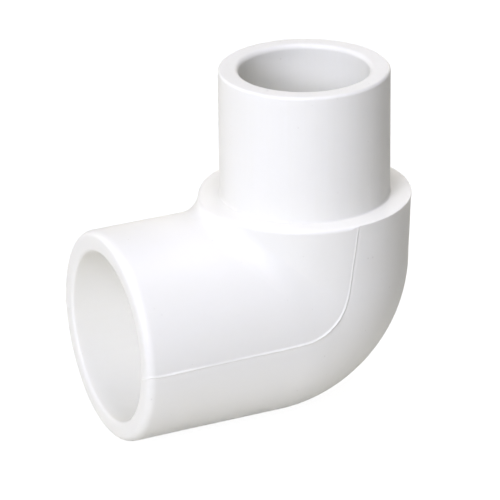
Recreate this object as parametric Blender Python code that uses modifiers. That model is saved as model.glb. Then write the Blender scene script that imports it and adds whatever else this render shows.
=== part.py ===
"""One inch PVC street elbow: a 90 degree solvent-weld fitting with a socket at one end and a spigot at the other.

The fitting is a single moulding, so it is a single object. Its own origin is where the socket's axis and the
spigot's axis cross. The socket opens along -X and the spigot stands along +Z. An empty at the crossing point
lifts the part so that the world origin is under the middle of its box, level with the lowest line of the barrel.
"""

import math

import bmesh
import bpy
from mathutils import Vector

MM = 0.001

# Outside of the body. In every name, RADIUS is measured from the local axis.
BARREL_RADIUS = 20.85 * MM  # socket barrel
MOUTH_REACH = 43.15 * MM  # from the crossing point to the mouth's rim
MOUTH_ROUNDING = 1.40 * MM  # of the barrel's outer edge at the mouth
BEND_RADIUS = 10.0 * MM  # centreline of the bend, which so ends at this height
THROAT_TURN = 3.2 * MM  # least radius of the bend's inside corner
NECK_RADIUS = 20.30 * MM  # hub where the bend ends
HUB_RADIUS = BARREL_RADIUS  # hub at the shoulder
SHOULDER_Z = 22.50 * MM  # flat annulus that a mating socket stops against

# Spigot
PIPE_DIAMETER = 33.40 * MM  # outside of 1 inch pipe
SPIGOT_ROOT_RADIUS = PIPE_DIAMETER / 2
SPIGOT_TIP_RADIUS = 16.66 * MM
SPIGOT_END_Z = 48.10 * MM
SPIGOT_ROUNDING = 0.50 * MM
SPIGOT_FILLET = 0.90 * MM
FILLET_SWEEP = math.radians(64)  # the fillet meets the shoulder a little short of tangent
FILLET_RUN_OUT = 0.4 * MM  # drop of the straight slope that carries the fillet into the hub

# Socket for 1 inch pipe, tapered so that the pipe wedges before it bottoms
SOCKET_MOUTH_RADIUS = 16.80 * MM
SOCKET_STOP_RADIUS = 16.64 * MM
SOCKET_DEPTH = 25.60 * MM
SOCKET_LEAD = 0.50 * MM  # rounding of the lead-in

# Waterway
CHANNEL_RADIUS = 14.20 * MM  # at the pipe stop
CHANNEL_NECK_RADIUS = 13.60 * MM  # where the bend ends
CHANNEL_THROAT_TURN = 3.0 * MM
BORE_ROOT_RADIUS = 12.60 * MM  # spigot's bore, level with the shoulder
BORE_TIP_RADIUS = 12.70 * MM
BORE_LEAD = 0.60 * MM  # rounding of the lead-in

# Both lead-ins
LEAD_SWEEP = math.radians(60)  # they meet the end faces a little short of tangent
LEAD_RUN_OUT = 0.5 * MM  # axial length of the straight slope that carries them past the end face

# Raised parting line, along the +Y and -Y sides of the body
FLASH_HALF_WIDTH = 0.26 * MM
FLASH_HEIGHT = 0.16 * MM

SIDES = 64  # facets round every section
BEND_STEPS = 16
EDGE_STEPS = 4
THROAT_SOFTNESS = 2.0 * MM  # how gently the throat's radius gives way to the bend's own radius
OVERSHOOT = 3.0 * MM  # how far blanks and cutters pass the faces they meet
SHARP_ANGLE = math.radians(32)  # edges that turn more than this are shaded sharp


# Scene

def clear_scene():
    for obj in list(bpy.data.objects):
        bpy.data.objects.remove(obj, do_unlink=True)


def new_collection(name):
    collection = bpy.data.collections.new(name)
    bpy.context.scene.collection.children.link(collection)
    return collection


def new_object(name, data, collection):
    obj = bpy.data.objects.new(name, data)
    collection.objects.link(obj)
    return obj


def plastic(name, colour, roughness):
    material = bpy.data.materials.new(name)
    material.use_nodes = True
    shader = material.node_tree.nodes["Principled BSDF"]
    shader.inputs["Base Color"].default_value = (*colour, 1.0)
    shader.inputs["Roughness"].default_value = roughness
    shader.inputs["Metallic"].default_value = 0.0
    return material


# Sections. A section is a list of (angle, share of the flash height); angle zero points at the bend's throat.

def plain_section():
    return [(i * 2 * math.pi / SIDES, 0.0) for i in range(SIDES)]


def flashed_section():
    """The plain section with its two side points raised as crests, and a foot added on either side of each."""
    foot = FLASH_HALF_WIDTH / BARREL_RADIUS
    section = []
    for i, (angle, share) in enumerate(plain_section()):
        if i in (SIDES // 4, 3 * SIDES // 4):
            section += [(angle - foot, 0.0), (angle, 1.0), (angle + foot, 0.0)]
        else:
            section.append((angle, share))
    return section


def barrel_ring(x, radius, section, flash=0.0):
    """A ring across the socket's axis. flash is the parting line's height here."""
    ring = []
    for angle, share in section:
        reach = radius + flash * share
        ring.append(Vector((x, reach * math.sin(angle), reach * math.cos(angle))))
    return ring


def hub_ring(z, radius, section, flash=0.0):
    """A ring across the spigot's axis."""
    ring = []
    for angle, share in section:
        reach = radius + flash * share
        ring.append(Vector((-reach * math.cos(angle), reach * math.sin(angle), z)))
    return ring


def turn_radius(offset, throat_turn):
    """Radius of the turn made by a line that runs along the barrel at this offset towards the throat.
    Towards the heel it nears the concentric radius, and near the throat it never drops below throat_turn."""
    concentric = BEND_RADIUS - offset
    blend = math.hypot(concentric - throat_turn, THROAT_SOFTNESS)
    return 0.5 * (concentric + throat_turn + blend)


def bend_rings(section, start_radius, end_radius, throat_turn, flash=0.0):
    """Rings round the bend, from where every line leaves the barrel to where it joins the hub.
    start_radius holds before the bend, and end_radius(z) is the radius of the hub at height z."""
    rings = []
    for i in range(BEND_STEPS + 1):
        progress = i / BEND_STEPS
        turn = progress * math.pi / 2
        heelward = Vector((math.sin(turn), 0.0, -math.cos(turn)))
        ring = []
        for angle, share in section:
            toward_throat = math.cos(angle)
            sideways = math.sin(angle)
            offset = start_radius * toward_throat
            radius = turn_radius(offset, throat_turn)
            join_z = offset + radius
            centre = Vector((-join_z, start_radius * sideways, join_z))
            growth = progress * (end_radius(join_z) - start_radius) + flash * share
            outward = Vector((0.0, sideways, 0.0)) - toward_throat * heelward
            ring.append(centre + radius * heelward + growth * outward)
        rings.append(ring)
    return rings


def hub_taper(z, neck_radius, shoulder_radius):
    """Radius at height z on the straight taper from the end of the bend to the shoulder."""
    return neck_radius + (shoulder_radius - neck_radius) * (z - BEND_RADIUS) / (SHOULDER_Z - BEND_RADIUS)


def hub_radius(z):
    return hub_taper(z, NECK_RADIUS, HUB_RADIUS)


def channel_radius(z):
    return hub_taper(z, CHANNEL_NECK_RADIUS, BORE_ROOT_RADIUS)


# Rounded edges

def arc_turns(sweep):
    return [i / EDGE_STEPS * sweep for i in range(EDGE_STEPS + 1)]


def rounded_edge(size):
    """(depth, inset) of an outer edge, from the end face to the side."""
    return [(size * (1 - math.cos(turn)), size * (1 - math.sin(turn))) for turn in arc_turns(math.pi / 2)]


def lead_in(bore_radius, size):
    """(depth, radius) of a flared bore entry, from outside the end face inwards. Depth is zero at the face."""
    flare = [
        (size * (1 - math.sin(turn)), bore_radius + size * (1 - math.cos(turn)))
        for turn in reversed(arc_turns(LEAD_SWEEP))
    ]
    depth, radius = flare[0]
    wide = radius + LEAD_RUN_OUT * math.tan(LEAD_SWEEP)
    return [(-OVERSHOOT, wide), (depth - LEAD_RUN_OUT, wide)] + flare


# Meshes

def loft(rings):
    """Closed bmesh through rings with the same number of points, with a flat cap at each end."""
    solid = bmesh.new()
    rows = [[solid.verts.new(point) for point in ring] for ring in rings]
    count = len(rows[0])
    for row, following in zip(rows, rows[1:]):
        for i in range(count):
            j = (i + 1) % count
            solid.faces.new((row[i], row[j], following[j], following[i]))
    solid.faces.new(rows[0])
    solid.faces.new(rows[-1])
    return solid


def cut_flat_above(solid, height):
    """Remove everything above a height and close the opening."""
    bmesh.ops.bisect_plane(
        solid,
        geom=solid.verts[:] + solid.edges[:] + solid.faces[:],
        plane_co=(0.0, 0.0, height),
        plane_no=(0.0, 0.0, 1.0),
        clear_outer=True,
    )
    bmesh.ops.holes_fill(solid, edges=[edge for edge in solid.edges if edge.is_boundary], sides=0)


def solid_object(name, solid, collection):
    bmesh.ops.recalc_face_normals(solid, faces=solid.faces)
    mesh = bpy.data.meshes.new(name)
    solid.to_mesh(mesh)
    solid.free()
    mesh.shade_smooth()
    mesh.set_sharp_from_angle(angle=SHARP_ANGLE)
    return new_object(name, mesh, collection)


def turned(name, profile, collection):
    """Solid of revolution about Z. The profile is (radius, height), from the top of the axis down its outer side."""
    mesh = bpy.data.meshes.new(name)
    points = [(radius, 0.0, z) for radius, z in profile]
    mesh.from_pydata(points, [(i, i + 1) for i in range(len(points) - 1)], [])
    obj = new_object(name, mesh, collection)
    screw = obj.modifiers.new("turn", "SCREW")
    screw.axis = "Z"
    screw.steps = SIDES
    screw.render_steps = SIDES
    screw.use_merge_vertices = True
    screw.merge_threshold = 0.01 * MM
    return obj


def add_boolean(target, other, operation):
    modifier = target.modifiers.new(f"{operation.lower()}_{other.name}", "BOOLEAN")
    modifier.operation = operation
    modifier.solver = "EXACT"
    modifier.object = other


# Pieces

def body_blank(collection):
    """Outside of the barrel, the bend and the hub, cut flat at the shoulder."""
    section = flashed_section()
    rings = []
    for depth, inset in rounded_edge(MOUTH_ROUNDING):
        flash = FLASH_HEIGHT * (1 - inset / MOUTH_ROUNDING)  # grows from nothing at the rim
        rings.append(barrel_ring(-MOUTH_REACH + depth, BARREL_RADIUS - inset, section, flash))
    rings += bend_rings(section, BARREL_RADIUS, hub_radius, THROAT_TURN, FLASH_HEIGHT)
    top = SHOULDER_Z + OVERSHOOT
    rings.append(hub_ring(top, hub_radius(top), section, FLASH_HEIGHT))
    solid = loft(rings)
    cut_flat_above(solid, SHOULDER_Z)
    return solid_object("elbow_body", solid, collection)


def spigot_blank(collection):
    """Solid spigot, rooted in the hub: rounded at its end and filleted where it meets the shoulder."""
    profile = [(0.0, SPIGOT_END_Z)]
    for depth, inset in rounded_edge(SPIGOT_ROUNDING):
        profile.append((SPIGOT_TIP_RADIUS - inset, SPIGOT_END_Z - depth))
    for turn in arc_turns(FILLET_SWEEP):
        radius = SPIGOT_ROOT_RADIUS + SPIGOT_FILLET * (1 - math.cos(turn))
        z = SHOULDER_Z + SPIGOT_FILLET * (1 - math.sin(turn))
        profile.append((radius, z))
    root_radius = radius + FILLET_RUN_OUT * math.tan(FILLET_SWEEP)
    root_z = SHOULDER_Z - 2 * OVERSHOOT
    profile += [(root_radius, z - FILLET_RUN_OUT), (root_radius, root_z), (0.0, root_z)]
    return turned("spigot_blank", profile, collection)


def flow_cutter(collection):
    """Everything the part is hollow for, in one solid: socket bore, pipe stop, bend of the waterway and spigot bore."""
    section = plain_section()
    stop_x = -MOUTH_REACH + SOCKET_DEPTH
    rings = [
        barrel_ring(-MOUTH_REACH + depth, radius, section)
        for depth, radius in lead_in(SOCKET_MOUTH_RADIUS, SOCKET_LEAD)
    ]
    rings.append(barrel_ring(stop_x, SOCKET_STOP_RADIUS, section))
    rings.append(barrel_ring(stop_x, CHANNEL_RADIUS, section))
    rings += bend_rings(section, CHANNEL_RADIUS, channel_radius, CHANNEL_THROAT_TURN)
    rings.append(hub_ring(SHOULDER_Z, BORE_ROOT_RADIUS, section))
    for depth, radius in reversed(lead_in(BORE_TIP_RADIUS, BORE_LEAD)):
        rings.append(hub_ring(SPIGOT_END_Z - depth, radius, section))
    return solid_object("flow_cutter", loft(rings), collection)


def axes_crossing(collection):
    """Empty that carries the part, centring its box in X and standing its barrel on the ground."""
    crossing = new_object("axes_crossing", None, collection)
    crossing.empty_display_size = 10 * MM
    crossing.location = ((MOUTH_REACH - HUB_RADIUS) / 2, 0.0, BARREL_RADIUS)
    return crossing


def main():
    clear_scene()
    parts = new_collection("pvc_elbow_fitting")
    cutters = new_collection("cutters")

    crossing = axes_crossing(parts)
    body = body_blank(parts)
    spigot = spigot_blank(cutters)
    flow = flow_cutter(cutters)
    add_boolean(body, spigot, "UNION")
    add_boolean(body, flow, "DIFFERENCE")
    for helper in (spigot, flow):
        helper.hide_render = True
        helper.display_type = "WIRE"
    for obj in (body, spigot, flow):
        obj.parent = crossing
    body.data.materials.append(plastic("white_pvc", colour=(0.90, 0.90, 0.92), roughness=0.30))
    bpy.context.view_layer.update()


main()
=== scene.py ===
import math

import bmesh
import bpy
import numpy as np
from mathutils import Matrix, Vector


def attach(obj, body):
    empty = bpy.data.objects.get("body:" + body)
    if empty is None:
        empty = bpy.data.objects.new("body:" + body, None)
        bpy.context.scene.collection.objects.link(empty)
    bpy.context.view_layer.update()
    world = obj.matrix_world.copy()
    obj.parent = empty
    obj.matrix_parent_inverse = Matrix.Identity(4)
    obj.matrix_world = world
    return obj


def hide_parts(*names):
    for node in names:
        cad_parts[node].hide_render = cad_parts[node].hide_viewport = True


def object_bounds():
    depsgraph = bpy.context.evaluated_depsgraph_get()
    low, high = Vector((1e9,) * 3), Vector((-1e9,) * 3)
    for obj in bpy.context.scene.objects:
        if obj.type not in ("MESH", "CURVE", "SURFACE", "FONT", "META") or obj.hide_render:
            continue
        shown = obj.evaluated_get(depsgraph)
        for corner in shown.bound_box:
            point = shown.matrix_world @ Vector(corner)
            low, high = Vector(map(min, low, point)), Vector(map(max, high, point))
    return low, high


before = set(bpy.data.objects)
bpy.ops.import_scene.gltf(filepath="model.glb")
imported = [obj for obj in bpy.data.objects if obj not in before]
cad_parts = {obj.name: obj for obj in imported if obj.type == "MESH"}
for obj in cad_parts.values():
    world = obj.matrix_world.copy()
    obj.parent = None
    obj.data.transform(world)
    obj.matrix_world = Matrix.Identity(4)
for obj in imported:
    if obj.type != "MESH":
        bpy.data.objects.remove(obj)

# White PVC street elbow. The barrel, with the socket in it, opens towards -x. The hub rises from
# the bend towards +z and carries the spigot. The throat of the bend faces -x and +z, its heel
# faces +x and -z, and the seam of the two mould halves runs along both sides, at -y and +y.
# The looks are one fine, closed mesh: rings of points that run from the mouth along the outside,
# over the spigot's tip and back through the inside. Lengths are millimetres from the point where
# the two axes cross, until the mesh is written in metres.

cad_lo, cad_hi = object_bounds()
MM = 0.001
QUARTER = 0.5 * math.pi

# ---------------------------------------------------------------- dimensions
BARREL_R = 20.85
MOUTH_REACH = 43.15
MOUTH_EDGE_R = 1.25  # across the rim
MOUTH_EDGE_LONG = 1.8  # along the barrel
MOUTH_CROWN = math.radians(7)  # how far the rim's face leans over at its two edges
MOUTH_SQUARE = 0.08  # how far out of square the mouth is at its sides
MOUTH_SQUARE_FADE = 14.0  # how far along the barrel that lean fades out
BEND_R = 10.0
THROAT_R = 3.5
THROAT_SOFTNESS = 2.0
BARREL_MARGIN = 0.4  # the barrel's rings end at least this far before their lines turn
NECK_R = 20.30
HUB_R = BARREL_R
SHOULDER_Z = 22.50
SHOULDER_EDGE_CRISP = 0.16  # the shoulder's rounding on the heel's half
SHOULDER_EDGE_SOFTER = 0.62  # added on the throat's half

SPIGOT_ROOT_R = 16.70
SPIGOT_TIP_R = 16.66
SPIGOT_END_Z = 48.10
SPIGOT_EDGE_R = 0.62
SPIGOT_FILLET_R = 0.38

SOCKET_MOUTH_R = 16.80
SOCKET_STOP_R = 16.64
SOCKET_DEPTH = 25.60
SOCKET_LEAD_R = 0.70
STOP_X = -MOUTH_REACH + SOCKET_DEPTH
STOP_FILLET_R = 0.40
STOP_EDGE_R = 0.25
STOP_ROOM = 0.045  # least length of the channel's lines between the bend and the stop's edge

CHANNEL_R = 14.20
CHANNEL_NECK_R = 13.60
CHANNEL_THROAT_R = 3.0
BORE_ROOT_R = 12.60
BORE_TIP_R = 12.70
BORE_LEAD_R = 1.00

CROSSING = Vector((
    (cad_lo.x + cad_hi.x) / 2 / MM + (MOUTH_REACH - BARREL_R) / 2,
    0.0,
    cad_lo.z / MM + BARREL_R,
))

# ---------------------------------------------------------------- curves and unevenness


def smooth(x, start, end):
    """0 before start, 1 after end, and an even curve between."""
    share = np.clip((np.asarray(x, float) - start) / (end - start), 0.0, 1.0)
    return share * share * (3.0 - 2.0 * share)


def waves(u, v, seed, count, longest, shortest):
    """An unevenness of about unit size over two coordinates in mm, the same for one seed."""
    rng = np.random.default_rng(seed)
    total = np.zeros(np.broadcast(u, v).shape)
    for _ in range(count):
        length = longest * (shortest / longest) ** rng.random()
        turn, phase = rng.random(2) * 2 * math.pi
        across = u * math.cos(turn) + v * math.sin(turn)
        height = (length / longest) ** 0.7
        total = total + height * np.sin(2 * math.pi * across / length + phase)
    return total / math.sqrt(count)


def arc(start, end, steps):
    """Evenly spaced angles in radians between two angles in degrees."""
    return [math.radians(start + (end - start) * i / steps) for i in range(steps + 1)]


# ---------------------------------------------------------------- columns round the section
# Angle 0 points at the throat of the bend, and a quarter turn on is the +y side line.
# Columns crowd together at the two side lines, which carry the raised seam.
NEAR_SEAM = (0.07, 0.14, 0.21, 0.29, 0.38, 0.48, 0.60, 0.80, 1.10)  # mm from the side line
GAP_STEPS = 118  # even steps over the throat, and over the heel


def column_angles():
    near = [distance / BARREL_R for distance in NEAR_SEAM]
    cluster = [-angle for angle in reversed(near)] + [0.0] + near
    gap = math.pi - 2 * near[-1]
    angles = []
    for middle in (QUARTER, 3 * QUARTER):
        angles += [middle + angle for angle in cluster]
        angles += [middle + near[-1] + gap * i / GAP_STEPS for i in range(1, GAP_STEPS)]
    return np.array(sorted(angle % (2 * math.pi) for angle in angles))


ANGLES = column_angles()
COLS = len(ANGLES)
COS, SIN = np.cos(ANGLES), np.sin(ANGLES)
SIDE = np.where(SIN > 0, 1.0, -1.0)
FROM_SIDE = np.arcsin(np.clip(COS, -1, 1))  # angle from the nearer side line to the throat
SIDE_DIST = FROM_SIDE * BARREL_R  # the same in mm of arc

# ---------------------------------------------------------------- the seam
# "along" is the distance in mm along the side line from the plane of the mouth's rim.
SEAM_BEND_R = 9.6
ALONG_HUB = MOUTH_REACH - BEND_R + QUARTER * SEAM_BEND_R
ALONG_END = ALONG_HUB + SHOULDER_Z - BEND_R

# (along, mm from the side line towards the throat)
SEAM_PATH = (
    (0.0, 0.0), (1.0, -0.11), (2.0, -0.20), (4.2, -0.24), (8.6, -0.18), (17.4, -0.13),
    (28.3, -0.10), (33.7, 0.05), (37.6, 0.22), (42.0, 0.39), (46.1, 0.56), (48.2, 0.51),
    (50.4, 0.19), (52.5, -0.06), (56.9, -0.68), (60.8, -1.13),
)
# (along, height of the raised line in mm)
SEAM_HEIGHT = (
    (0.0, 0.16), (2.0, 0.17), (5.4, 0.31), (9.0, 0.23), (12.0, 0.15), (17.4, 0.13),
    (22.8, 0.19), (28.3, 0.27), (35.6, 0.25), (38.4, 0.31), (40.2, 0.20), (42.2, 0.27),
    (44.0, 0.14), (46.5, 0.09), (50.0, 0.07), (60.8, 0.07),
)
SEAM_BLUR = (-1.2, -0.8, -0.4, 0.0, 0.4, 0.8, 1.2)  # the tables are averaged over these shifts
RIM_SLANT = 1.2  # mm towards the heel that the seam drifts across the rim
RIM_SLANT_OVER = 1.1  # mm over which it drifts most of the way
RIM_SLANT_START = BARREL_R - 0.25


def along_seam(table, along):
    """A value read from one of the tables, its corners rounded off."""
    stations, values = zip(*table)
    return float(np.mean([np.interp(along + shift, stations, values) for shift in SEAM_BLUR]))


def rim_offset(radius):
    """Across the rim the seam slants down from the barrel's side line to the bore."""
    inward = max(RIM_SLANT_START - radius, 0.0)
    return -RIM_SLANT * (1 - math.exp(-inward / RIM_SLANT_OVER))


def seam_profile(along):
    """The seam's lift in mm for every column of a ring: a narrow rounded ridge, wider on the
    throat's half, a shallow line pressed in on the heel's half, and a small step between."""
    on_hub = float(smooth(along, ALONG_HUB - 3.0, ALONG_HUB + 2.0))
    throat_width, heel_width = 0.46 - 0.20 * on_hub, 0.24 - 0.06 * on_hub
    width = np.where(SIDE_DIST > 0, throat_width, heel_width)
    # the height wavers slowly and quickly, differently on each side
    uneven = 1 + 0.10 * np.sin(along * 1.9 + SIDE) + 0.07 * np.sin(along * 4.3 + 2 * SIDE)
    height = along_seam(SEAM_HEIGHT, along) * uneven
    round_top = 0.5 + 0.5 * np.cos(math.pi * SIDE_DIST / width)
    ridge = np.where(np.abs(SIDE_DIST) < width, round_top, 0.0)
    # the pressed line is deeper on the hub, and eases again towards the shoulder
    deep = 0.008 + on_hub * (0.020 - 0.010 * float(smooth(along, 53.5, 57.0)))
    sunk_at, sunk_width = -0.42, 0.17
    sunk = np.exp(-(((SIDE_DIST - sunk_at) / sunk_width) ** 2)) * deep
    # the throat's half stands proud beside the seam, and fades out away from it
    step_height, step_fade = 0.035, 2.2
    step = step_height * smooth(SIDE_DIST, -0.28, 0.05)
    step = step * np.exp(-np.clip(SIDE_DIST, 0, None) / step_fade)
    return height * ridge - sunk + step


def flash_stub(along):
    """The stub of trimmed flash beside the mouth, on the +y side."""
    height, width = 0.07, 0.85
    there = (SIDE > 0) * np.exp(-((SIDE_DIST / width) ** 4))
    rise, fall = float(smooth(along, -0.9, 0.3)), float(smooth(along, 2.6, 4.4))
    return height * there * rise * (1 - fall)


def warped(offset, radius=BARREL_R):
    """The columns' angles in a ring, with the two side lines moved onto the seam's path."""
    spread = 0.30  # angle over which neighbouring columns follow
    return ANGLES - SIDE * (offset / radius) * np.exp(-((FROM_SIDE / spread) ** 2))


# ---------------------------------------------------------------- rings and roundings
# Places along an axis and radii are single numbers, or arrays with one value for each column.


def barrel_ring(x, radius, angles=ANGLES):
    return np.stack([np.full(COLS, x), radius * np.sin(angles), radius * np.cos(angles)], 1)


def hub_ring(z, radius):
    return np.stack([-radius * COS, radius * SIN, np.full(COLS, z)], 1)


def straight(start, end, steps):
    """The rings strictly between two rings."""
    for i in range(1, steps):
        yield start + (end - start) * i / steps


def rounding(ring, face, wall, along, across, steps, from_wall=False, end=90):
    """Rings round the corner of a face (its place on the axis) and a wall (its radius). The
    arc reaches `across` over the face and `along` down the wall, both signed."""
    for turn in arc(0, end, steps):
        run, rise = 1 - math.cos(turn), 1 - math.sin(turn)
        if from_wall:
            run, rise = rise, run
        yield ring(face + along * run, wall + across * rise)


def hub_radius(z):
    """The hub widens to the shoulder, drawn in a little and then flared near its end."""
    flare, flare_long = 0.10, 1.8
    waist, waist_long = 0.05, 6.0
    plain = NECK_R + (HUB_R - NECK_R) * (z - BEND_R) / (SHOULDER_Z - BEND_R)
    flared = flare * smooth(z, SHOULDER_Z - flare_long, SHOULDER_Z)
    drawn_in = waist * smooth(z, SHOULDER_Z - waist_long, SHOULDER_Z - flare_long)
    return plain + flared - drawn_in


def channel_radius(z):
    share = (z - BEND_R) / (SHOULDER_Z - BEND_R)
    return CHANNEL_NECK_R + (BORE_ROOT_R - CHANNEL_NECK_R) * share


def corner_radius(offset, throat_r):
    """The radius a line turns with: tighter towards the throat, but never sharp."""
    own = BEND_R - offset
    return 0.5 * (own + throat_r + np.hypot(own - throat_r, THROAT_SOFTNESS))


def turn_reach(section_r, throat_r):
    """How far from the crossing, along either axis, each column's turn starts and ends."""
    offset = section_r * COS
    return offset + corner_radius(offset, throat_r)


def bend_ring(turn, start_r, end_radius, throat_r):
    """The ring at one angle round the bend, 0 at the barrel and a quarter turn at the hub."""
    corner = corner_radius(start_r * COS, throat_r)
    reach = turn_reach(start_r, throat_r)
    out = np.array([np.sin(turn), 0.0, -np.cos(turn)])
    centre = np.stack([-reach, start_r * SIN, reach], 1)
    grow = turn / QUARTER * (end_radius(reach) - start_r)
    across = np.stack([0 * SIN, SIN, 0 * SIN], 1) - COS[:, None] * out
    return centre + corner[:, None] * out + grow[:, None] * across


OUTER_REACH = turn_reach(BARREL_R, THROAT_R)
BARREL_END = np.minimum(-BARREL_R, -OUTER_REACH - BARREL_MARGIN)

# ---------------------------------------------------------------- outside, with the seam
# These yield a ring and how far each of its points is lifted along the normal.


def mouth():
    """The rim's face, gently crowned, and the rounding onto the barrel."""
    edge_start = math.atan(math.tan(MOUTH_CROWN) * MOUTH_EDGE_R / MOUTH_EDGE_LONG)
    rim_out = BARREL_R - MOUTH_EDGE_R * (1 - math.sin(edge_start))
    rim_in = SOCKET_MOUTH_R + SOCKET_LEAD_R * (1 - math.sin(MOUTH_CROWN))
    width = rim_out - rim_in
    steps = 8
    for i in range(1, steps):
        share = i / steps
        radius = rim_in + width * share
        crown = width * math.tan(MOUTH_CROWN) * share * (1 - share)
        ring = barrel_ring(-MOUTH_REACH - crown, radius, warped(rim_offset(radius), radius))
        fade = 0.55 + 0.25 * share  # the seam is lower towards the bore
        yield ring, seam_profile(0.0) * fade + flash_stub(radius - rim_out)
    for turn in arc(math.degrees(edge_start), 90, 12):
        along = MOUTH_EDGE_LONG * (math.cos(edge_start) - math.cos(turn))
        radius = BARREL_R - MOUTH_EDGE_R * (1 - math.sin(turn))
        offset = rim_offset(radius) + along_seam(SEAM_PATH, along)
        ring = barrel_ring(-MOUTH_REACH + along, radius, warped(offset, radius))
        fade = 0.8 + 0.2 * math.sin(turn)
        yield ring, seam_profile(along) * fade + flash_stub(along)


def barrel():
    steps = 48
    start = MOUTH_EDGE_LONG
    for i in range(1, steps):
        x = -MOUTH_REACH + start + (BARREL_END + MOUTH_REACH - start) * i / steps
        along = start + (MOUTH_REACH - start - BARREL_R) * i / steps
        ring = barrel_ring(x, BARREL_R, warped(along_seam(SEAM_PATH, along)))
        yield ring, seam_profile(along) + flash_stub(along)


# The shoulder's outer edge is soft on the throat's half, though less so close to the throat
# itself, and crisp on the heel's half.
soft_half = smooth(SIDE_DIST, -0.12, 0.22)
near_throat = smooth(FROM_SIDE, 0.8, 1.4)
SHOULDER_EDGE_R = SHOULDER_EDGE_CRISP + SHOULDER_EDGE_SOFTER * soft_half * (1 - 0.5 * near_throat)
HUB_TOP = SHOULDER_Z - SHOULDER_EDGE_R


def bend_lines(count):
    """Every column as one line from the last barrel ring, round the bend to just under the
    shoulder, in count even steps. A column by the throat reaches the shoulder before it has
    finished its turn."""
    straight_steps, turn_steps = 80, 260
    past_shoulder = 3.0  # the fine lines overshoot by this before they are cut
    sheets = []
    for k in range(straight_steps):
        x = BARREL_END + (-OUTER_REACH - BARREL_END) * k / straight_steps
        sheets.append(barrel_ring(x, BARREL_R))
    for k in range(turn_steps + 1):
        sheets.append(bend_ring(QUARTER * k / turn_steps, BARREL_R, hub_radius, THROAT_R))
    for k in range(1, straight_steps + 1):
        rise = SHOULDER_Z + past_shoulder - OUTER_REACH
        z = OUTER_REACH + rise * k / straight_steps
        sheets.append(hub_ring(z, hub_radius(z)))
    sheets = np.array(sheets)
    lines = np.empty((count + 1, COLS, 3))
    for c in range(COLS):
        line = sheets[:, c]
        last = int(np.argmax(line[:, 2] >= HUB_TOP[c]))
        before, after = line[last - 1], line[last]
        share = (HUB_TOP[c] - before[2]) / (after[2] - before[2])
        line = np.vstack([line[:last], before + share * (after - before)])
        length = distance_along(line)
        even = np.linspace(0.0, length[-1], count + 1)
        for axis in range(3):
            lines[:, c, axis] = np.interp(even, length, line[:, axis])
    return lines


def distance_along(line):
    return np.concatenate([[0.0], np.cumsum(np.linalg.norm(np.diff(line, axis=0), axis=1))])


def bend_and_hub():
    lines = bend_lines(100)
    side_line = lines[:, int(np.argmin(np.abs(ANGLES - QUARTER)))]
    for row, along in zip(lines, distance_along(side_line) + MOUTH_REACH - BARREL_R):
        target = warped(along_seam(SEAM_PATH, along))
        # points slide round their own row onto the seam's path
        moved = [np.interp(target, ANGLES, row[:, axis], period=2 * math.pi) for axis in range(3)]
        yield np.stack(moved, 1), seam_profile(along)


def shoulder_edge(before, start):
    """The hub's lines turn over onto the flat annulus, from the hub's last two rings."""
    steps = 7
    corner_pull = 0.75  # weight of the corner in each line's curve
    tangent = start - before
    tangent /= np.linalg.norm(tangent, axis=1)[:, None]
    radial = start * (1.0, 1.0, 0.0)
    radial /= np.linalg.norm(radial, axis=1)[:, None]
    corner = start + tangent * ((SHOULDER_Z - start[:, 2]) / np.maximum(tangent[:, 2], 0.3))[:, None]
    corner[:, 2] = SHOULDER_Z
    end = corner - radial * SHOULDER_EDGE_R[:, None]
    for i in range(1, steps + 1):
        share = i / steps
        w_start, w_end = (1 - share) ** 2, share * share
        w_corner = 2 * share * (1 - share) * corner_pull
        ring = (start * w_start + corner * w_corner + end * w_end) / (w_start + w_corner + w_end)
        yield ring, seam_profile(ALONG_END) * (1 - 0.8 * share)


# ---------------------------------------------------------------- spigot and inside, plain rings


def spigot(edge_end):
    """From the shoulder's edge over the annulus, up the spigot and onto its end face."""
    fillet, edge = SPIGOT_FILLET_R, SPIGOT_EDGE_R
    yield from straight(edge_end, hub_ring(SHOULDER_Z, SPIGOT_ROOT_R + fillet), 6)
    yield from rounding(hub_ring, SHOULDER_Z, SPIGOT_ROOT_R, fillet, fillet, 8)
    root = hub_ring(SHOULDER_Z + fillet, SPIGOT_ROOT_R)
    yield from straight(root, hub_ring(SPIGOT_END_Z - edge, SPIGOT_TIP_R), 30)
    yield from rounding(hub_ring, SPIGOT_END_Z, SPIGOT_TIP_R, -edge, -edge, 8, from_wall=True)
    face_out = hub_ring(SPIGOT_END_Z, SPIGOT_TIP_R - edge)
    yield from straight(face_out, hub_ring(SPIGOT_END_Z, BORE_TIP_R + BORE_LEAD_R), 5)


def channel():
    """Down the spigot's bore and round the bend to the socket's stop."""
    yield from rounding(hub_ring, SPIGOT_END_Z, BORE_TIP_R, -BORE_LEAD_R, BORE_LEAD_R, 8)
    bore_root = hub_ring(SHOULDER_Z, BORE_ROOT_R)
    yield from straight(hub_ring(SPIGOT_END_Z - BORE_LEAD_R, BORE_TIP_R), bore_root, 24)
    yield bore_root
    reach = turn_reach(CHANNEL_R, CHANNEL_THROAT_R)
    yield from straight(bore_root, hub_ring(reach, channel_radius(reach)), 5)
    steps = 40
    for i in range(steps + 1):
        turn = QUARTER * (1 - i / steps)
        yield bend_ring(turn, CHANNEL_R, channel_radius, CHANNEL_THROAT_R)
    # by the throat a line leaves its turn at the stop's edge, and still keeps a little room
    end = barrel_ring(np.minimum(STOP_X + STOP_EDGE_R, -reach - STOP_ROOM), CHANNEL_R)
    yield from straight(barrel_ring(-reach, CHANNEL_R), end, 3)
    yield end


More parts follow.
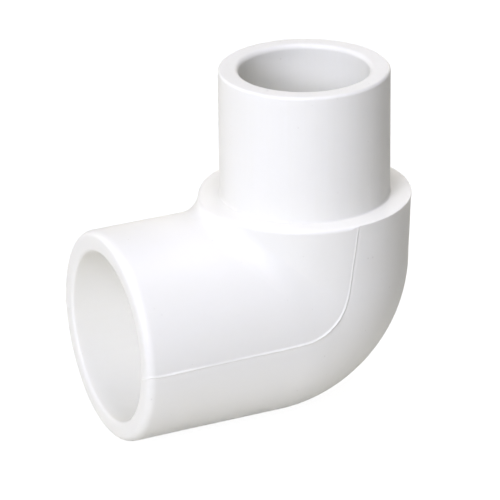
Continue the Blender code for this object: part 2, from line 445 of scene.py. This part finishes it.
def socket():
    """Over the stop and out along the socket to the rim."""
    edge, fillet, lead = STOP_EDGE_R, STOP_FILLET_R, SOCKET_LEAD_R
    # the channel's last ring stands for the first of the stop's edge
    yield from [*rounding(barrel_ring, STOP_X, CHANNEL_R, edge, edge, 4, from_wall=True)][1:]
    yield from rounding(barrel_ring, STOP_X, SOCKET_STOP_R, -fillet, -fillet, 5)
    inner = barrel_ring(STOP_X - fillet, SOCKET_STOP_R)
    yield from straight(inner, barrel_ring(-MOUTH_REACH + lead, SOCKET_MOUTH_R), 30)
    yield from rounding(
        barrel_ring, -MOUTH_REACH - lead * (1 - math.cos(MOUTH_CROWN)), SOCKET_MOUTH_R,
        lead, lead, 7, from_wall=True, end=90 - math.degrees(MOUTH_CROWN),
    )


# ---------------------------------------------------------------- the whole skin


def outward(grid):
    """Unit normals of the closed grid, which point out of the plastic."""
    along = np.roll(grid, -1, axis=0) - np.roll(grid, 1, axis=0)
    around = np.roll(grid, -1, axis=1) - np.roll(grid, 1, axis=1)
    normals = np.cross(around, along)
    normals /= np.maximum(np.linalg.norm(normals, axis=2), 1e-9)[:, :, None]
    barrel_row = 40  # a ring of the straight barrel, where out is plainly away from the axis
    return -normals if np.sum(normals[barrel_row, :, 2] * COS) < 0 else normals


def skin_grid():
    """Every point of the skin as (ring, column, axis), with the unevenness of a moulding."""
    seamed = [*mouth(), *barrel(), *bend_and_hub()]
    seamed += shoulder_edge(seamed[-2][0], seamed[-1][0])
    plain = [*spigot(seamed[-1][0]), *channel(), *socket()]
    grid = np.array([ring for ring, _ in seamed] + plain)
    lift = np.zeros(grid.shape[:2])
    lift[:len(seamed)] = [ring_lift for _, ring_lift in seamed]

    # the mouth is a hair out of square with its barrel
    fade_end = -MOUTH_REACH + MOUTH_SQUARE_FADE
    by_mouth = 1 - smooth(grid[:, :, 0], -MOUTH_REACH, fade_end)
    grid[:, :, 0] += MOUTH_SQUARE * by_mouth * grid[:, :, 1] / BARREL_R

    # cooling pulls the surfaces a few hundredths of a millimetre out of true
    u = grid[:, :, 0] + 0.6 * grid[:, :, 1]
    v = grid[:, :, 2] - 0.4 * grid[:, :, 1]
    broad_depth, fine_depth = 0.016, 0.003
    sag = broad_depth * waves(u, v, seed=11, count=9, longest=34.0, shortest=12.0)
    sag = sag + fine_depth * waves(u, v, seed=12, count=10, longest=9.0, shortest=4.0)
    return grid + outward(grid) * (sag + lift)[:, :, None]


def build_elbow():
    grid = skin_grid()
    verts = (grid.reshape(-1, 3) + np.array(CROSSING)) * MM
    index = np.arange(len(verts)).reshape(grid.shape[:2])
    next_ring = np.roll(index, -1, axis=0)
    corners = [index, np.roll(index, -1, axis=1), np.roll(next_ring, -1, axis=1), next_ring]
    quads = np.stack(corners, axis=2).reshape(-1, 4)
    mesh = bpy.data.meshes.new("elbow_skin")
    mesh.from_pydata(verts.tolist(), [], quads.tolist())
    mesh.update()
    mesh.validate()

    bm = bmesh.new()
    bm.from_mesh(mesh)
    bmesh.ops.recalc_face_normals(bm, faces=bm.faces)
    bm.to_mesh(mesh)
    bm.free()
    mesh.shade_smooth()

    elbow = bpy.data.objects.new("elbow_skin", mesh)
    bpy.context.scene.collection.objects.link(elbow)
    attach(elbow, "root")
    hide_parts("elbow_body")
    mesh.materials.append(pvc())


# ---------------------------------------------------------------- materials


class Nodes:
    """Short ways to add shader nodes to one tree."""

    def __init__(self, tree):
        self.tree = tree

    def feed(self, socket, value):
        if isinstance(value, bpy.types.NodeSocket):
            self.tree.links.new(value, socket)
        else:
            socket.default_value = value

    def add(self, kind, inputs=None, **settings):
        node = self.tree.nodes.new("ShaderNode" + kind)
        for name, value in settings.items():
            setattr(node, name, value)
        for key, value in (inputs or {}).items():
            self.feed(node.inputs[key], value)
        return node

    def maths(self, kind, *values, clamp=False):
        inputs = dict(enumerate(values))
        return self.add("Math", inputs, operation=kind, use_clamp=clamp).outputs[0]

    def times(self, value, by):
        return self.maths("MULTIPLY", value, by)

    def scaled(self, value, by, plus, clamp=False):
        return self.maths("MULTIPLY_ADD", value, by, plus, clamp=clamp)

    def vector(self, x, y, z):
        return self.add("CombineXYZ", {0: x, 1: y, 2: z}).outputs[0]

    def noise(self, where, per_mm, detail=2.0, rough=0.5):
        """A noise centred on 0 and about 1 high."""
        inputs = {"Vector": where, "Scale": per_mm, "Detail": detail, "Roughness": rough}
        return self.scaled(self.add("TexNoise", inputs).outputs[0], by=2.4, plus=-1.2)

    def between(self, value, start, end):
        inputs = {"Value": value, "From Min": start, "From Max": end}
        return self.add("MapRange", inputs, interpolation_type="SMOOTHSTEP").outputs[0]

    def mix(self, amount, first, second):
        return self.add("Mix", {0: amount, 6: first, 7: second}, data_type="RGBA").outputs[2]


def draw_lines(nodes, mm):
    """The lines the mould's parts left: long along the pull, a millimetre or two across with
    finer ones between. Strongest on the spigot, then the barrel, then the hub."""
    x, y, z = nodes.add("SeparateXYZ", {0: mm}).outputs
    round_barrel = nodes.times(nodes.maths("ARCTAN2", y, z), by=BARREL_R)
    round_hub = nodes.times(nodes.maths("ARCTAN2", y, x), by=SPIGOT_ROOT_R)
    on_hub = nodes.between(z, start=9.0, end=15.0)
    off_hub = nodes.maths("SUBTRACT", 1.0, on_hub)
    on_barrel = nodes.times(nodes.between(x, start=-13.0, end=-19.0), by=off_hub)
    on_spigot = nodes.between(z, start=SHOULDER_Z + 0.6, end=SHOULDER_Z + 1.4)

    # the third coordinate picks a separate slice of the noise for each
    hub_place = nodes.vector(x=nodes.times(z, by=0.035), y=round_hub, z=3.0)
    hub_lines = nodes.noise(hub_place, per_mm=0.62, detail=4.0, rough=0.62)
    barrel_place = nodes.vector(x=nodes.times(x, by=0.030), y=round_barrel, z=9.0)
    barrel_lines = nodes.noise(barrel_place, per_mm=0.55, detail=4.0, rough=0.62)
    hub_share = nodes.scaled(on_spigot, by=0.75, plus=nodes.times(on_hub, by=0.25))
    return nodes.maths(
        "ADD",
        nodes.times(hub_lines, by=hub_share),
        nodes.times(barrel_lines, by=nodes.times(on_barrel, by=0.45)),
    )


def specks(nodes, mm):
    """How strongly each point is a speck: a few cells each hold one small faint dot."""
    picked_above = 0.93  # only cells with a higher random value hold a speck
    cells = nodes.add("TexVoronoi", {"Vector": mm, "Scale": 0.85})
    cell = nodes.add("SeparateColor", {0: cells.outputs["Color"]})
    size = nodes.scaled(cell.outputs[1], by=0.14, plus=0.10)
    core = nodes.times(size, by=0.35)
    inside = nodes.between(cells.outputs["Distance"], start=size, end=core)
    picked = nodes.maths("GREATER_THAN", cell.outputs[0], picked_above)
    strength = nodes.scaled(cell.outputs[2], by=0.17, plus=0.05)
    return nodes.times(nodes.times(inside, by=picked), by=strength)


def pvc():
    """White moulded PVC, in millimetres about the crossing point."""
    dull_white, clear_white = (0.951, 0.940, 0.878, 1.0), (0.979, 0.971, 0.924, 1.0)
    speck_brown = (0.43, 0.40, 0.35, 1.0)

    material = bpy.data.materials.new("white_pvc_moulded")
    material.use_nodes = True
    nodes = Nodes(material.node_tree)
    shader = material.node_tree.nodes["Principled BSDF"].inputs

    place = nodes.add("TexCoord").outputs["Object"]
    to_mm = {"Vector": place, "Scale": (1 / MM, 1 / MM, 1 / MM), "Location": -CROSSING}
    mm = nodes.add("Mapping", to_mm).outputs[0]
    drawn = draw_lines(nodes, mm)
    speck = specks(nodes, mm)

    # colour: faint clouding, finer mottle and the specks
    clouds = nodes.noise(mm, per_mm=0.055)
    mottle = nodes.noise(mm, per_mm=0.9, detail=3.0)
    tone = nodes.scaled(clouds, by=0.42, plus=nodes.scaled(mottle, by=0.16, plus=0.5))
    tone = nodes.scaled(drawn, by=-0.45, plus=tone, clamp=True)
    colour = nodes.mix(tone, dull_white, clear_white)
    nodes.feed(shader["Base Color"], nodes.mix(speck, colour, speck_brown))

    # gloss: uneven, smoother on worn edges and rougher on the specks
    edges = nodes.add("NewGeometry").outputs["Pointiness"]
    worn = nodes.between(edges, start=0.515, end=0.60)
    broad = nodes.noise(mm, per_mm=0.16, detail=3.0, rough=0.6)
    gloss = nodes.scaled(broad, by=0.035, plus=0.455)
    gloss = nodes.scaled(nodes.noise(mm, per_mm=2.2), by=0.020, plus=gloss)
    gloss = nodes.scaled(drawn, by=0.045, plus=gloss)
    gloss = nodes.scaled(worn, by=-0.05, plus=gloss)
    nodes.feed(shader["Roughness"], nodes.scaled(speck, by=0.25, plus=gloss, clamp=True))

    # relief in mm: soft orange peel, fine grain, draw lines and sunken specks
    relief = nodes.times(nodes.noise(mm, per_mm=0.75), by=0.0045)
    relief = nodes.scaled(nodes.noise(mm, per_mm=4.0, rough=0.6), by=0.0006, plus=relief)
    relief = nodes.scaled(drawn, by=0.019, plus=relief)
    relief = nodes.scaled(speck, by=-0.012, plus=relief)
    bump = nodes.add("Bump", {"Strength": 1.0, "Distance": MM, "Height": relief})
    nodes.feed(shader["Normal"], bump.outputs[0])

    # light goes a little way into the plastic
    shader["IOR"].default_value = 1.45
    shader["Subsurface Weight"].default_value = 0.12
    shader["Subsurface Radius"].default_value = (1.0, 0.95, 0.85)
    shader["Subsurface Scale"].default_value = 0.0006
    return material


def studio_white():
    """A pale matt floor. The camera sees it as bright as a lit sweep, with only a trace of the
    part's shadow, while the part is lit by what a plain pale floor gives back."""
    material = bpy.data.materials.new("studio_white")
    material.use_nodes = True
    material.node_tree.nodes.clear()
    nodes = Nodes(material.node_tree)
    paper = nodes.add("BsdfDiffuse", {"Color": (0.82, 0.81, 0.75, 1.0)}).outputs[0]
    faint = nodes.add("BsdfDiffuse", {"Color": (0.22, 0.22, 0.22, 1.0)}).outputs[0]
    glow = nodes.add("Emission", {"Strength": 0.94}).outputs[0]
    seen = nodes.add("AddShader", {0: faint, 1: glow}).outputs[0]
    by_camera = nodes.add("LightPath").outputs["Is Camera Ray"]
    surface = nodes.add("MixShader", {0: by_camera, 1: paper, 2: seen}).outputs[0]
    nodes.add("OutputMaterial", {"Surface": surface})
    return material


# ---------------------------------------------------------------- floor and backdrop, in metres
FLOOR_HALF = 3.0
FLOOR_GAP = 0.00005  # between the part and the floor


def build_floor():
    half = FLOOR_HALF
    corners = [(-half, -half, 0), (half, -half, 0), (half, half, 0), (-half, half, 0)]
    mesh = bpy.data.meshes.new("floor")
    mesh.from_pydata(corners, [], [(0, 1, 2, 3)])
    floor = bpy.data.objects.new("floor", mesh)
    floor.location.z = cad_lo.z - FLOOR_GAP
    bpy.context.scene.collection.objects.link(floor)
    mesh.materials.append(studio_white())


def build_backdrop():
    """Pale to the camera, and no light of its own on the part."""
    brightness = 0.96
    world = bpy.data.worlds.new("studio")
    bpy.context.scene.world = world
    world.use_nodes = True
    nodes = Nodes(world.node_tree)
    backdrop = world.node_tree.nodes["Background"].inputs
    backdrop["Color"].default_value = (1, 1, 1, 1)
    by_camera = nodes.add("LightPath").outputs["Is Camera Ray"]
    nodes.feed(backdrop["Strength"], nodes.times(by_camera, by=brightness))


# ---------------------------------------------------------------- lights
LIGHT_TARGET = Vector((0, 0, 0.035))
LIGHT_DISTANCE = 1.0
LIGHT_SIZE = 0.30
KEY, TOP, RIM = (0.858, 0.875, 1.0), (0.953, 0.938, 1.0), (1.0, 0.97, 0.89)
# name, azimuth in degrees (0 is -y, 90 is +x), elevation in degrees, watts, colour
LIGHTS = (
    ("key_low", 305, 22, 3.38, KEY),
    ("key_high", 315, 40, 3.34, KEY),
    ("key_front", 325, 22, 1.04, KEY),
    ("top", 0, 88, 3.78, TOP),
    ("top_right", 90, 72, 1.11, TOP),
    ("top_left", 270, 72, 0.17, TOP),
    ("back_left", 225, 22, 0.68, RIM),
    ("back_near_left", 205, 22, 0.86, RIM),
    ("back_right", 145, 22, 0.65, RIM),
    ("back_low", 135, 6, 1.26, RIM),
    ("back_low_mid", 158, 6, 0.26, RIM),
    ("back_low_left", 202, 6, 0.72, RIM),
)


def direction(azimuth, elevation):
    """The unit vector towards a place given in degrees, as in the lights' table."""
    around, rise = math.radians(azimuth), math.radians(elevation)
    level = math.cos(rise)
    return Vector((math.sin(around) * level, -math.cos(around) * level, math.sin(rise)))


def softbox(name, azimuth, elevation, watts, colour):
    data = bpy.data.lights.new(name, "AREA")
    data.shape = "DISK"
    data.size = LIGHT_SIZE
    data.energy = watts
    data.color = colour
    lamp = bpy.data.objects.new(name, data)
    out = direction(azimuth, elevation)
    lamp.location = LIGHT_TARGET + out * LIGHT_DISTANCE
    lamp.rotation_mode = "QUATERNION"
    lamp.rotation_quaternion = out.to_track_quat("Z", "Y")
    lamp.visible_camera = False
    bpy.context.scene.collection.objects.link(lamp)


# ---------------------------------------------------------------- camera, in degrees and mm
CAMERA_AZIMUTH, CAMERA_ELEVATION, CAMERA_ROLL = -25.155, 23.479, -0.763
CAMERA_DISTANCE = 667.007
AIM_RIGHT, AIM_UP = 10.987, -8.939  # where the crossing point lies from the view's centre
VIEW_WIDTH = 99.0628653  # width seen at the crossing point
SENSOR_WIDTH = 36.0


def build_camera():
    back = direction(CAMERA_AZIMUTH, CAMERA_ELEVATION)
    around, roll = math.radians(CAMERA_AZIMUTH), math.radians(CAMERA_ROLL)
    level = Vector((math.cos(around), math.sin(around), 0.0))
    upright = back.cross(level)
    right = math.cos(roll) * level + math.sin(roll) * upright
    up = -math.sin(roll) * level + math.cos(roll) * upright

    data = bpy.data.cameras.new("camera")
    data.sensor_width = SENSOR_WIDTH
    data.lens = CAMERA_DISTANCE / VIEW_WIDTH * SENSOR_WIDTH
    data.clip_start = 0.05
    data.clip_end = 20.0
    camera = bpy.data.objects.new("camera", data)
    place = (CAMERA_DISTANCE * back - AIM_RIGHT * right - AIM_UP * up + CROSSING) * MM
    turn = Matrix((right, up, back)).transposed()
    camera.matrix_world = Matrix.Translation(place) @ turn.to_4x4()
    bpy.context.scene.collection.objects.link(camera)
    bpy.context.scene.camera = camera


# ---------------------------------------------------------------- build
build_elbow()
build_floor()
build_backdrop()
for light in LIGHTS:
    softbox(*light)
build_camera()

view = bpy.context.scene.view_settings
view.view_transform = "Standard"
view.look = "None"
